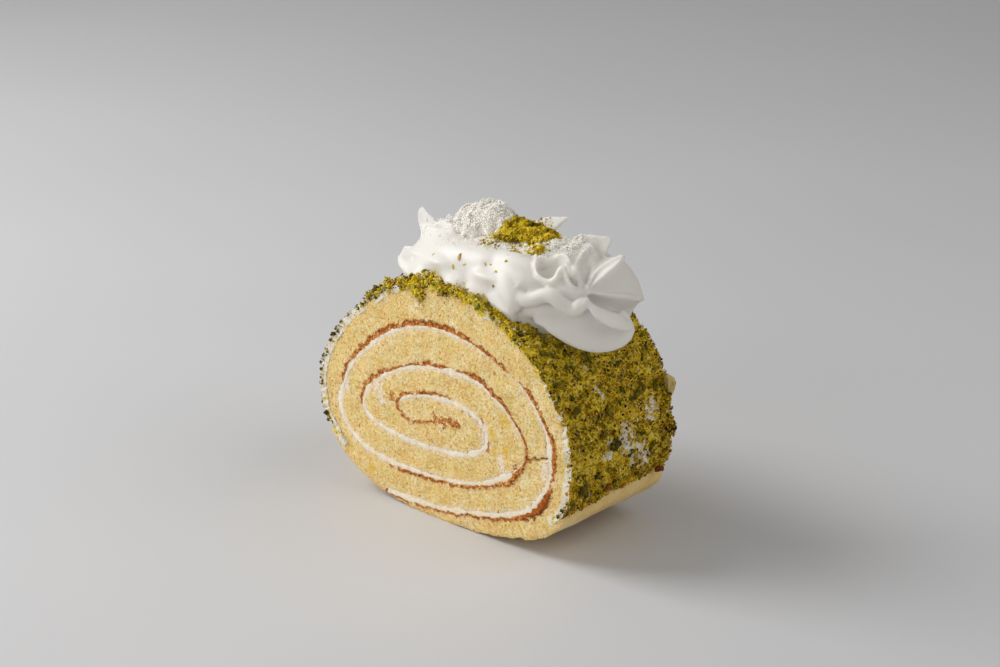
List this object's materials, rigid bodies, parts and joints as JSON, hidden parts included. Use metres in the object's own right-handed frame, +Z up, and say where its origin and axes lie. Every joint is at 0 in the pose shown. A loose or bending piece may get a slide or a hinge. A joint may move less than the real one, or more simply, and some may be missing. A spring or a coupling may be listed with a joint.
{
  "type": "swiss roll cake slice",
  "caption": "Thick slice of sponge roll with a cream spiral, coated in crushed pistachio and topped with whipped cream piped through a star nozzle.",
  "frame": {"origin": "on the flat underside that the slice rests on, below the heart of the roll, midway between the two cut faces", "axes": "+X across the cut face towards the star end of the whipped cream, +Y along the roll's own axis from the front cut face to the rear one, +Z up"},
  "size_m": [0.1155, 0.0494, 0.1017],
  "materials": {
    "sponge": "pale yellow open crumb sponge, matt",
    "filling_cream": "set cream, satin",
    "crushed_pistachio": "crushed nut crumbs on cream, matt",
    "whipped_cream": "whipped cream, soft satin",
    "coat_cream": "thin spread of cream under the nuts, satin",
    "baked_skin": "browned skin of the sponge sheet, matt",
    "pistachio_bits": "loose pistachio bits, matt",
    "grated_coconut": "fine white grated coconut, matt"
  },
  "bodies": {
    "root": {"sponge": "sponge", "cream_filling": "filling_cream", "pistachio_coat": "crushed_pistachio", "whipped_cream": "whipped_cream"}
  },
  "joints": []
}
